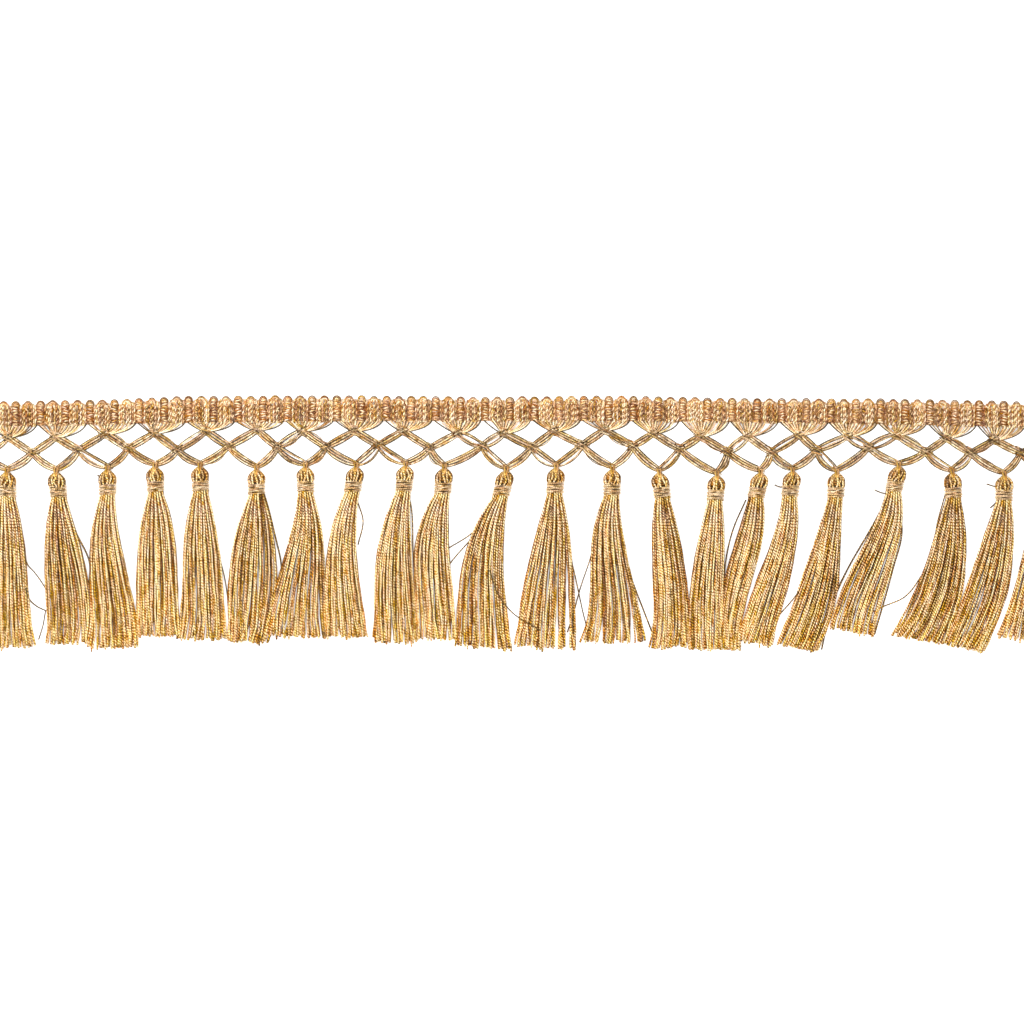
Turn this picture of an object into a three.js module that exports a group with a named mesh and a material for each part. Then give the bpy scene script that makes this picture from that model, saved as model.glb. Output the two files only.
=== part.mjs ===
// A cut length of tassel fringe trim, laid flat and face up.
// Millimetres. X runs along the heading, +Y points from the tassels to the heading's top edge, and the
// trim rests on z = 0. The origin is the middle of the trim's footprint.
import * as THREE from 'three';

// Heading: one knitted band, with a row of round loops along its top edge.
const HEADING_LENGTH = 462;
const HEADING_WIDTH = 11.1;
const HEADING_TOP = 53.4;
const LOOPS = 89;
const LOOPS_PER_REPEAT = 4;
const LOOP_NOTCH = 1.1;
const FOOT_NOTCH = 0.3;
const RIB_HEIGHT = 2.2;
const GROOVE_HEIGHT = 1.3;
const EDGE_HEIGHT = 0.9;

// The heading lies in one long shallow arch.
const ARCH_RISE = 2.5;
const ARCH_MIDDLE = -15;
const ARCH_REACH = 215;

// Lattice: bundles of thread, knotted in three rows. Each step is a share of the way along a side.
const LATTICE_THICKNESS = 1.6;
const BUNDLE_HALF_WIDTH = 0.95;
const FAN_EDGE = 0.3;
const FAN_SAG = 0.45;
const UPPER_BOW = 0.35;
const LOWER_SAG = 1.1;
const APEX_HALF_WIDTH = 1.0;
const APEX_WEB = 0.6;
const APEX_RIB = 5;
const APEX_SHIFT = -1.0;
const KNOT_HALF_WIDTH = 1.0;
const KNOT_HALF_HEIGHT = 1.3;
const SAGGING_STEPS = [0.2, 0.5, 0.8];
const STRAIGHT_STEPS = [0.22, 0.78];
const FAN_STEPS = [0.35];

// Tassel: a hank of cords folded over at its head and wrapped at its neck.
const HEAD_LENGTH = 5.4;
const BINDING_LENGTH = 4.9;
const NECK_HALF_WIDTH = 2.5;
const NECK_FOOT = 1.1;
const NECK_CROWN = 4.7;
const BINDING_HALF_WIDTH = 3.6;
const BINDING_CROWN = 6;
const BINDING_WALL = 0.8;
const SKIRT_HALF_WIDTH = 3;
const SKIRT_CROWN = 5;
const TIP_CROWN = 3;
const HEAD_CENTRE_DROP = 4;
const HEAD_TILT = 0.7;
const TIP_SLANT = 0.75;

// Cross section of a hank: how high its widest line lies, as a share of its height, and its sides.
const SECTION_CENTRE = 0.4;
const SECTION_SIDES = 7;

// Separate pieces stay this far apart.
const GAP = 0.3;
const SKIRT_GAP = 0.5;

// Sections down the head: drop below the tassel's top, half width, lowest and highest point.
const HEAD_SECTIONS = [
  { drop: 0, halfWidth: 1.0, foot: 1.4, crown: 4.0 },
  { drop: 0.9, halfWidth: 2.6, foot: 0.4, crown: 5.0 },
  { drop: 2.4, halfWidth: 3.4, foot: 0, crown: 5.6 },
  { drop: 4.6, halfWidth: 3.4, foot: 0, crown: 5.6 },
];

// Sections down the skirt, as shares of its length.
const SKIRT_STEPS = [0.08, 0.28, 0.5, 0.75, 1];

// One row for each tassel: the middle of its head, its top, how far its skirt leans and bows to the
// side, how wide it spreads at the tip, how early it flares, and where its cords end.
const TASSELS = [
  { head: -218.8, top: 21.4, lean: 2.5, bow: 0.0, spread: 18.0, flare: 2.0, tip: -52.5 },
  { head: -197.9, top: 21.3, lean: 4.6, bow: 1.2, spread: 18.6, flare: 2.6, tip: -50.4 },
  { head: -176.7, top: 22.3, lean: 3.0, bow: -0.8, spread: 19.8, flare: 1.6, tip: -52.1 },
  { head: -156.7, top: 23.5, lean: 0.8, bow: 0.4, spread: 19.2, flare: 2.4, tip: -47.4 },
  { head: -137.8, top: 23.7, lean: 1.0, bow: 0.3, spread: 21.0, flare: 1.6, tip: -48.7 },
  { head: -114.2, top: 22.4, lean: -3.6, bow: 0.8, spread: 17.0, flare: 3.0, tip: -49.8 },
  { head: -93.6, top: 23.5, lean: -3.2, bow: 0.8, spread: 25.6, flare: 1.4, tip: -48.0 },
  { head: -73.0, top: 23.5, lean: -1.2, bow: -3.0, spread: 18.4, flare: 2.0, tip: -47.9 },
  { head: -51.9, top: 24.0, lean: -1.9, bow: -1.5, spread: 18.0, flare: 2.4, tip: -50.1 },
  { head: -35.6, top: 23.0, lean: -1.0, bow: -1.5, spread: 16.5, flare: 3.0, tip: -48.7 },
  { head: -10.2, top: 21.9, lean: -6.6, bow: -3.2, spread: 23.0, flare: 1.1, tip: -52.5 },
  { head: 11.4, top: 23.1, lean: -4.6, bow: 0.0, spread: 26.0, flare: 1.5, tip: -52.5 },
  { head: 35.1, top: 22.4, lean: 0.6, bow: -0.5, spread: 26.0, flare: 1.1, tip: -50.1 },
  { head: 55.4, top: 21.0, lean: 4.3, bow: 1.9, spread: 17.4, flare: 1.7, tip: -52.1 },
  { head: 78.8, top: 19.9, lean: -3.2, bow: -0.8, spread: 14.0, flare: 3.0, tip: -52.6 },
  { head: 96.7, top: 21.0, lean: -11.0, bow: -1.5, spread: 10.0, flare: 2.0, tip: -52.2 },
  { head: 110.4, top: 21.6, lean: -14.7, bow: 1.2, spread: 13.5, flare: 2.5, tip: -50.4 },
  { head: 129.2, top: 21.0, lean: -14.0, bow: 2.5, spread: 18.0, flare: 1.4, tip: -51.9 },
  { head: 154.6, top: 23.8, lean: -17.3, bow: 0.0, spread: 18.6, flare: 2.4, tip: -46.6 },
  { head: 178.1, top: 21.0, lean: -14.0, bow: 4.6, spread: 22.0, flare: 1.7, tip: -50.0 },
  { head: 199.7, top: 19.9, lean: -16.4, bow: 3.8, spread: 17.0, flare: 3.0, tip: -51.9 },
  { head: 219.9, top: 21.0, lean: -11.8, bow: 1.3, spread: 20.0, flare: 1.8, tip: -49.1 },
];

// One row for each tassel: the upper knot above it and the middle knot to its right.
const KNOTS = [
  { upperX: -218.6, upperY: 36.1, middleX: -208.5, middleY: 29.4 },
  { upperX: -198.5, upperY: 36.1, middleX: -189.2, middleY: 30.7 },
  { upperX: -177.9, upperY: 37.4, middleX: -168.2, middleY: 31.5 },
  { upperX: -157.3, upperY: 37.8, middleX: -147.6, middleY: 30.7 },
  { upperX: -135.5, upperY: 38.7, middleX: -126.2, middleY: 32.3 },
  { upperX: -114.0, upperY: 39.1, middleX: -105.6, middleY: 31.9 },
  { upperX: -95.1, upperY: 38.7, middleX: -85.1, middleY: 31.9 },
  { upperX: -72.9, upperY: 38.7, middleX: -63.2, middleY: 32.8 },
  { upperX: -52.7, upperY: 38.7, middleX: -41.4, middleY: 31.5 },
  { upperX: -29.6, upperY: 37.8, middleX: -19.5, middleY: 32.3 },
  { upperX: -10.3, upperY: 37.8, middleX: 1.5, middleY: 31.9 },
  { upperX: 10.7, upperY: 38.7, middleX: 22.5, middleY: 32.8 },
  { upperX: 32.1, upperY: 39.1, middleX: 43.9, middleY: 32.3 },
  { upperX: 52.7, upperY: 37.8, middleX: 63.6, middleY: 31.1 },
  { upperX: 72.5, upperY: 36.5, middleX: 83.8, middleY: 29.8 },
  { upperX: 92.2, upperY: 36.5, middleX: 101.9, middleY: 29.8 },
  { upperX: 114.0, upperY: 37.0, middleX: 121.2, middleY: 30.7 },
  { upperX: 134.2, upperY: 36.5, middleX: 143.0, middleY: 31.9 },
  { upperX: 154.8, upperY: 37.0, middleX: 167.0, middleY: 29.8 },
  { upperX: 175.8, upperY: 35.7, middleX: 185.9, middleY: 29.4 },
  { upperX: 195.9, upperY: 34.9, middleX: 206.9, middleY: 29.4 },
  { upperX: 217.4, upperY: 34.5, middleX: 228.3, middleY: 29.0 },
];
const FIRST_MIDDLE_KNOT = { x: -229.0, y: 29.0 };
const LOWER_KNOT_RISE = 1.3;

const GOLD = { heading: 0xc89a62, lattice: 0xc99c55, tassel: 0xcf9a4e, binding: 0xd9ab62 };

function goldThread(color) {
  return new THREE.MeshStandardMaterial({ color, roughness: 0.45, metalness: 0.6 });
}

// Arch of the heading's top edge.
function crestAt(x) {
  const reach = (x - ARCH_MIDDLE) / ARCH_REACH;
  return HEADING_TOP - ARCH_RISE * reach * reach;
}

// A closed skin over rings of points that all have the same count.
function loft(rings) {
  const count = rings[0].length;
  const positions = rings.flat().flatMap((point) => [point.x, point.y, point.z]);
  const index = [];
  for (let ring = 0; ring + 1 < rings.length; ring += 1) {
    for (let k = 0; k < count; k += 1) {
      const here = ring * count + k;
      const next = ring * count + ((k + 1) % count);
      index.push(here, here + count, next);
      index.push(next, here + count, next + count);
    }
  }
  const last = (rings.length - 1) * count;
  for (let k = 1; k + 1 < count; k += 1) {
    index.push(0, k, k + 1);
    index.push(last, last + k + 1, last + k);
  }
  const geometry = new THREE.BufferGeometry();
  geometry.setAttribute('position', new THREE.Float32BufferAttribute(positions, 3));
  geometry.setIndex(index);
  geometry.computeVertexNormals();
  return geometry;
}

// Heading: ribs and grooves in turn along the band, each rib one loop wide, cut through a rib at each end.
function headingRing(x, isRib) {
  const top = crestAt(x) - (isRib ? 0 : LOOP_NOTCH);
  const foot = crestAt(x) - HEADING_WIDTH + (isRib ? 0 : FOOT_NOTCH);
  const crown = isRib ? RIB_HEIGHT : GROOVE_HEIGHT;
  return [
    new THREE.Vector3(x, foot, 0),
    new THREE.Vector3(x, foot, EDGE_HEIGHT),
    new THREE.Vector3(x, (top + foot) / 2, crown),
    new THREE.Vector3(x, top, EDGE_HEIGHT),
    new THREE.Vector3(x, top, 0),
  ];
}

function headingGeometry() {
  const pitch = HEADING_LENGTH / LOOPS;
  const start = -HEADING_LENGTH / 2;
  const rings = [headingRing(start, true)];
  for (let loop = 0; loop < LOOPS; loop += 1) {
    rings.push(headingRing(start + (loop + 0.5) * pitch, false));
    rings.push(headingRing(start + (loop + 1) * pitch, true));
  }
  return loft(rings);
}

// Lattice: the points where its bundles are knotted.
function upperKnot(index) {
  return new THREE.Vector2(KNOTS[index].upperX, KNOTS[index].upperY);
}

function middleKnot(index) {
  if (index < 0) {
    return new THREE.Vector2(FIRST_MIDDLE_KNOT.x, FIRST_MIDDLE_KNOT.y);
  }
  return new THREE.Vector2(KNOTS[index].middleX, KNOTS[index].middleY);
}

function lowerKnot(index) {
  return new THREE.Vector2(TASSELS[index].head, TASSELS[index].top + LOWER_KNOT_RISE);
}

// One side of a gap. Going round a gap to the left, a positive shift moves into the gap.
function side(from, to, steps, shift, bow) {
  const along = new THREE.Vector2().subVectors(to, from);
  const inward = new THREE.Vector2(-along.y, along.x).normalize();
  return steps.map((step) => {
    const bulge = 4 * step * (1 - step) * bow;
    return new THREE.Vector2().lerpVectors(from, to, step).addScaledVector(inward, shift + bulge);
  });
}

// Bundles between the upper and middle knots bow up a little, those down to the lower knots sag.
function upperSide(from, to, hand) {
  return side(from, to, STRAIGHT_STEPS, BUNDLE_HALF_WIDTH, hand * UPPER_BOW);
}

function lowerSide(from, to, hand) {
  return side(from, to, SAGGING_STEPS, hand * BUNDLE_HALF_WIDTH, -LOWER_SAG);
}

function fanTop(x) {
  return new THREE.Vector2(x, crestAt(x) - HEADING_WIDTH - GAP);
}

// Where the threads of two neighbouring fans part, just left of every fourth rib.
function apexAfter(index) {
  const rib = APEX_RIB + index * LOOPS_PER_REPEAT;
  return -HEADING_LENGTH / 2 + HEADING_LENGTH / LOOPS * rib + APEX_SHIFT;
}

function upperGap(index) {
  const bottom = middleKnot(index);
  const left = upperKnot(index);
  const right = upperKnot(index + 1);
  const apex = apexAfter(index);
  const apexRight = fanTop(apex + APEX_HALF_WIDTH);
  const apexLeft = fanTop(apex - APEX_HALF_WIDTH);
  apexRight.y -= APEX_WEB;
  apexLeft.y -= APEX_WEB;
  return [
    ...upperSide(bottom, right, 1),
    ...side(right, apexRight, FAN_STEPS, FAN_EDGE, FAN_SAG),
    apexRight,
    apexLeft,
    ...side(left, apexLeft, FAN_STEPS, -FAN_EDGE, -FAN_SAG).reverse(),
    ...upperSide(left, bottom, 1),
  ];
}

function lowerGap(index) {
  const bottom = lowerKnot(index);
  const right = middleKnot(index);
  const top = upperKnot(index);
  const left = middleKnot(index - 1);
  return [
    ...lowerSide(bottom, right, 1),
    ...upperSide(right, top, -1),
    ...upperSide(top, left, -1),
    ...lowerSide(left, bottom, 1),
  ];
}

// The lattice's outer edge, from its left end along the lowest row of knots and back under the heading.
function latticeOutline() {
  const last = TASSELS.length - 1;
  const points = [middleKnot(-1).add(new THREE.Vector2(-BUNDLE_HALF_WIDTH, 0))];
  for (let index = 0; index <= last; index += 1) {
    const low = lowerKnot(index);
    const foot = TASSELS[index].top + GAP;
    points.push(...lowerSide(middleKnot(index - 1), low, -1));
    points.push(new THREE.Vector2(low.x - KNOT_HALF_WIDTH, foot));
    points.push(new THREE.Vector2(low.x + KNOT_HALF_WIDTH, foot));
    points.push(...lowerSide(low, middleKnot(index), -1));
    if (index < last) {
      points.push(middleKnot(index).add(new THREE.Vector2(0, -KNOT_HALF_HEIGHT)));
    }
  }
  points.push(middleKnot(last).add(new THREE.Vector2(BUNDLE_HALF_WIDTH, 0)));
  points.push(...outerSide(middleKnot(last), upperKnot(last)));
  points.push(...latticeTop());
  points.push(...outerSide(upperKnot(0), middleKnot(-1)));
  return points;
}

// The bundle at each end of the net, where no further gap follows.
function outerSide(from, to) {
  return side(from, to, STRAIGHT_STEPS, -BUNDLE_HALF_WIDTH, UPPER_BOW);
}

function latticeTop() {
  const points = [];
  for (let index = TASSELS.length - 1; index >= 0; index -= 1) {
    points.push(fanTop(apexAfter(index)));
    points.push(fanTop(upperKnot(index).x));
  }
  points.push(fanTop(apexAfter(-1)));
  return points;
}

function latticeGeometry() {
  const net = new THREE.Shape(latticeOutline());
  for (let index = 0; index < TASSELS.length; index += 1) {
    net.holes.push(new THREE.Path(lowerGap(index)));
    if (index + 1 < TASSELS.length) {
      net.holes.push(new THREE.Path(upperGap(index)));
    }
  }
  return new THREE.ExtrudeGeometry(net, { depth: LATTICE_THICKNESS, bevelEnabled: false });
}

// Tassel: the line down its middle, and its width.
function neckFoot(row) {
  return row.top - HEAD_LENGTH - BINDING_LENGTH - 2 * GAP;
}

function skirtLength(row) {
  return neckFoot(row) - row.tip;
}

function headSlope(row) {
  return HEAD_TILT * (row.lean + 4 * row.bow) / skirtLength(row);
}

function middleAt(row, y) {
  const neckX = row.head + headSlope(row) * (row.top - HEAD_CENTRE_DROP - neckFoot(row));
  const drop = neckFoot(row) - y;
  if (drop < 0) {
    return neckX + headSlope(row) * drop;
  }
  const share = drop / skirtLength(row);
  return neckX + row.lean * share + 4 * row.bow * share * (1 - share);
}

function halfWidthAt(row, y) {
  const share = THREE.MathUtils.clamp((neckFoot(row) - y) / skirtLength(row), 0, 1);
  const opened = 1 - (1 - share) ** row.flare;
  return SKIRT_HALF_WIDTH + (row.spread / 2 - SKIRT_HALF_WIDTH) * opened;
}

// One edge of a skirt, to the left where the hand is -1 and to the right where it is 1, held back
// where it meets the neighbour's.
function skirtEdge(index, y, hand) {
  const edge = (row, direction) => middleAt(row, y) + direction * halfWidthAt(row, y);
  const own = edge(TASSELS[index], hand);
  const neighbour = TASSELS[index + hand];
  if (!neighbour) {
    return own;
  }
  const limit = (edge(neighbour, -hand) + own) / 2 - hand * SKIRT_GAP / 2;
  return hand < 0 ? Math.max(own, limit) : Math.min(own, limit);
}

// Cross section of a bundle of cords: an ellipse cut flat underneath, from one corner of the flat round
// over the crown to the other.
function bundleSection(halfWidth, foot, crown) {
  const flatAngle = Math.asin(SECTION_CENTRE / (1 - SECTION_CENTRE));
  const points = [];
  for (let k = 0; k <= SECTION_SIDES; k += 1) {
    const angle = -flatAngle + (Math.PI + 2 * flatAngle) * k / SECTION_SIDES;
    const rise = Math.max(SECTION_CENTRE + (1 - SECTION_CENTRE) * Math.sin(angle), 0);
    points.push(new THREE.Vector2(halfWidth * Math.cos(angle), foot + (crown - foot) * rise));
  }
  return points;
}

function bundleRing(middle, y, section, slant) {
  return section.map((point) => new THREE.Vector3(middle + point.x, y + slant * point.x, point.y));
}

function tasselGeometry(index) {
  const row = TASSELS[index];
  const rings = HEAD_SECTIONS.map(({ drop, halfWidth, foot, crown }) => {
    const y = row.top - drop;
    return bundleRing(middleAt(row, y), y, bundleSection(halfWidth, foot, crown), 0);
  });
  for (const y of [row.top - HEAD_LENGTH, neckFoot(row)]) {
    rings.push(bundleRing(middleAt(row, y), y, bundleSection(NECK_HALF_WIDTH, NECK_FOOT, NECK_CROWN), 0));
  }
  for (const step of SKIRT_STEPS) {
    const y = neckFoot(row) - skirtLength(row) * step;
    const slant = step === 1 ? TIP_SLANT * row.lean / skirtLength(row) : 0;
    const tilt = slant * halfWidthAt(row, y);
    const left = skirtEdge(index, y - tilt, -1);
    const right = skirtEdge(index, y + tilt, 1);
    const crown = SKIRT_CROWN + (TIP_CROWN - SKIRT_CROWN) * step;
    rings.push(bundleRing((left + right) / 2, y, bundleSection((right - left) / 2, 0, crown), slant));
  }
  return loft(rings.reverse());
}

// Binding: a wrapped sleeve round the neck, following the head's tilt.
function bindingGeometry(index) {
  const row = TASSELS[index];
  const sleeve = new THREE.Shape(bundleSection(BINDING_HALF_WIDTH, 0, BINDING_CROWN));
  const innerHalfWidth = NECK_HALF_WIDTH + GAP;
  sleeve.holes.push(new THREE.Path(bundleSection(innerHalfWidth, BINDING_WALL, NECK_CROWN + GAP)));
  const geometry = new THREE.ExtrudeGeometry(sleeve, { depth: BINDING_LENGTH, bevelEnabled: false });
  geometry.rotateX(Math.PI / 2);
  const slope = headSlope(row);
  geometry.applyMatrix4(new THREE.Matrix4().makeShear(0, 0, -slope, 0, 0, 0));
  const top = row.top - HEAD_LENGTH - GAP;
  geometry.translate(middleAt(row, top), top, 0);
  return geometry;
}

function piece(name, geometry, color) {
  const mesh = new THREE.Mesh(geometry, goldThread(color));
  mesh.name = name;
  return mesh;
}

const trim = new THREE.Group();
trim.add(piece('heading', headingGeometry(), GOLD.heading));
trim.add(piece('lattice', latticeGeometry(), GOLD.lattice));
TASSELS.forEach((row, index) => {
  const number = String(index + 1).padStart(2, '0');
  trim.add(piece(`tassel_${number}`, tasselGeometry(index), GOLD.tassel));
  trim.add(piece(`binding_${number}`, bindingGeometry(index), GOLD.binding));
});

export default trim;
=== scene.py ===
from collections import namedtuple

import bpy
import numpy as np
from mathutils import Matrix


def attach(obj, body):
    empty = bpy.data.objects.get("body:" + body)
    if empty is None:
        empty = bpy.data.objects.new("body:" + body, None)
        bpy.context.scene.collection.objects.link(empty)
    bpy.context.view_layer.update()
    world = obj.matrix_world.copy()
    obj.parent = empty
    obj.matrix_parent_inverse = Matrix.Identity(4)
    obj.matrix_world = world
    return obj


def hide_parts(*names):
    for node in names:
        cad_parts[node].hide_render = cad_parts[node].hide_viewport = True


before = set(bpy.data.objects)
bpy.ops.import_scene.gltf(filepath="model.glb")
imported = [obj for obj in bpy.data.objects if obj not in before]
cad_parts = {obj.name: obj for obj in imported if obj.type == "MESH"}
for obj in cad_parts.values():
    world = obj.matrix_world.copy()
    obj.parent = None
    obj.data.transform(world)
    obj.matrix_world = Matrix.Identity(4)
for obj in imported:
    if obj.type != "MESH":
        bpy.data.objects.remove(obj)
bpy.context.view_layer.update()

MM = 0.001
SEED = 29
TURN = 2 * np.pi
GOLDEN = 0.6180339887

# Camera: straight above, a long lens, as wide on the surface as the photo.
VIEW_MIDDLE = (-6.9, 4.6)
VIEW_WIDTH = 430
LENS = 100
SENSOR = 36

# Heading, as in the solids: a shallow arch of ribs, one loop to a rib, four loops to a repeat.
HEADING_LENGTH = 462
HEADING_WIDTH = 11.1
HEADING_TOP = 53.4
ARCH_RISE = 2.5
ARCH_MIDDLE = -15
ARCH_REACH = 215
LOOPS = 89
PITCH = HEADING_LENGTH / LOOPS
LOOPS_PER_REPEAT = 4
APEX_RIB = 5
APEX_SHIFT = -1.0

# The top edge also rises and falls a little on its way. Heights above the arch, at equal steps.
TOP_EDGE_STEP = 26.9
TOP_EDGE = [-0.2, -0.3, 0.6, 0.5, 0.4, 0.1, -0.3, -0.6, -0.1, 0.0, -0.4, -0.5, -0.2, 0.1, 0.2, 0.1]
LOOP_RISE = 0.45

BAND_HEIGHT = 0.55
BAND_INSET = 0.6
BAND_SHORT = 3.4
STITCH_ROWS = 6
STITCH_TOP = 3.0
STITCH_STEP = 1.3

# Thread and cord radii. A stray is drawn at least as thick as the thinnest, so that it shows.
SKIRT_CORD = 0.37
NECK_CORD = 0.43
HEAD_CORD = 0.4
WRAP_THREAD = 0.31
NET_THREAD = 0.26
KNIT_THREAD = 0.32
LOOP_THREAD = 0.24
TIE_CORD = 0.38
THINNEST_STRAY = 0.29

# Sides of a fine thread's tube, and of a cord's.
FINE = 5
ROUND = 6

# Net: its flat bundles of threads, its knots, and the fans that draw the heading into the upper knots.
BUNDLE_THREADS = 7
BUNDLE_GATHERED = 0.85
UPPER_BOW = -0.1
LOWER_BOW = -0.9
KNOT_TURNS = 5
KNOT_HALF = 2.3
KNOT_RISE = 3.1
LOWEST_KNOT_HALF = 1.25
LOWEST_KNOT_RISE = 1.3
FAN_THREADS = 27
FAN_RINGS = 9
FAN_EDGE = 0.03
FAN_REACH = 8

# Tassels. The solids leave a gap at each end of the neck. A skirt is a flattened round, as high as its
# crown at the neck and lower by the fall at the tip. One top cord in three leads, and shows at the neck;
# the others come up beside it from where they are sunk. A layer is its number of cords, its depth from
# 0, lowest, to 1, on top, and the rings of its tubes.
NODE_GAP = 0.3
NECK_HALF = 3.0
NECK_CROWN = 5.0
CROWN_FALL = 2.0
SKIRT_SPREAD = 0.2
CLUMPS = 3.3
LEADERS = 3
SUNK = 1.5
LAYERS = [(19, 1.0, 42), (22, 0.55, 26), (19, 0.0, 20)]
KNOB_CORDS = 14
CORE_HEIGHT = 2.7

# Bindings: from one turn to the next, half their width, and the points of one turn.
WRAP_STEP = 0.82
WRAP_HALF = 3.75
WRAP_STEPS = 22

# Skirts were measured at these two heights and at the tip.
HIGH_LEVEL = -5.0
LOW_LEVEL = -26.0

Skirt = namedtuple("Skirt", "left_high left_low left_tip right_high right_low right_tip tip loose")
SKIRTS = [
    Skirt(-223.2, -224.0, -225.0, -212.1, -209.9, -207.2, -52.0, 0.3),
    Skirt(-203.1, -203.1, -202.8, -189.5, -185.0, -184.2, -50.4, 0.2),
    Skirt(-183.7, -184.0, -184.0, -171.8, -167.3, -164.2, -52.1, 0.2),
    Skirt(-163.6, -164.7, -165.3, -148.5, -146.8, -146.0, -47.5, 0.2),
    Skirt(-144.7, -145.7, -147.8, -130.7, -128.3, -126.5, -48.7, 0.2),
    Skirt(-123.2, -126.5, -126.6, -106.9, -105.5, -110.0, -50.0, 0.5),
    Skirt(-99.9, -105.5, -110.0, -86.7, -85.6, -84.2, -47.9, 0.3),
    Skirt(-83.5, -85.6, -85.1, -72.5, -70.9, -67.6, -47.9, 0.2),
    Skirt(-62.0, -64.7, -64.7, -49.5, -48.1, -46.6, -50.0, 0.3),
    Skirt(-46.9, -47.7, -46.6, -33.3, -31.7, -30.0, -48.7, 0.3),
    Skirt(-24.1, -28.9, -30.0, -10.0, -9.5, -6.8, -52.5, 0.9),
    Skirt(3.0, -1.9, -6.1, 17.6, 19.4, 20.4, -52.5, 0.8),
    Skirt(27.0, 25.5, 22.1, 39.9, 44.4, 48.5, -50.0, 0.9),
    Skirt(51.9, 52.5, 50.6, 63.2, 66.7, 68.1, -52.1, 0.4),
    Skirt(71.6, 68.1, 67.8, 82.4, 82.1, 81.7, -52.9, 0.3),
    Skirt(87.8, 82.5, 81.3, 98.6, 93.5, 88.3, -52.9, 0.3),
    Skirt(103.2, 95.4, 88.3, 112.8, 108.7, 101.9, -50.4, 0.6),
    Skirt(121.2, 114.6, 104.8, 131.3, 129.6, 120.8, -52.5, 0.6),
    Skirt(143.1, 133.1, 126.8, 156.4, 150.4, 145.2, -45.8, 0.5),
    Skirt(170.6, 164.3, 152.9, 183.9, 183.2, 174.8, -49.1, 0.5),
    Skirt(191.6, 184.8, 174.1, 204.1, 202.0, 190.9, -52.5, 0.4),
    Skirt(210.3, 204.8, 197.4, 222.5, 218.5, 216.5, -49.1, 0.4),
]

# The upper knot above each tassel, and the middle knot to its right.
Knots = namedtuple("Knots", "upper_x upper_y middle_x middle_y")
KNOTS = [
    Knots(-218.6, 36.1, -208.5, 29.4),
    Knots(-198.5, 36.1, -189.2, 30.7),
    Knots(-177.9, 37.4, -168.2, 31.5),
    Knots(-157.3, 37.8, -147.6, 30.7),
    Knots(-135.5, 38.7, -126.2, 32.3),
    Knots(-114.0, 39.1, -105.6, 31.9),
    Knots(-95.1, 38.7, -85.1, 31.9),
    Knots(-72.9, 38.7, -63.2, 32.8),
    Knots(-52.7, 38.7, -41.4, 31.5),
    Knots(-29.6, 37.8, -19.5, 32.3),
    Knots(-10.3, 37.8, 1.5, 31.9),
    Knots(10.7, 38.7, 22.5, 32.8),
    Knots(32.1, 39.1, 43.9, 32.3),
    Knots(52.7, 37.8, 63.6, 31.1),
    Knots(72.5, 36.5, 83.8, 29.8),
    Knots(92.2, 36.5, 101.9, 29.8),
    Knots(114.0, 37.0, 121.2, 30.7),
    Knots(134.2, 36.5, 143.0, 31.9),
    Knots(154.8, 37.0, 167.0, 29.8),
    Knots(175.8, 35.7, 185.9, 29.4),
    Knots(195.9, 34.9, 206.9, 29.4),
    Knots(217.4, 34.5, 228.3, 29.0),
]
FIRST_MIDDLE_KNOT = (-229.0, 29.0)
LOWER_KNOT_RISE = 1.3

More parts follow.
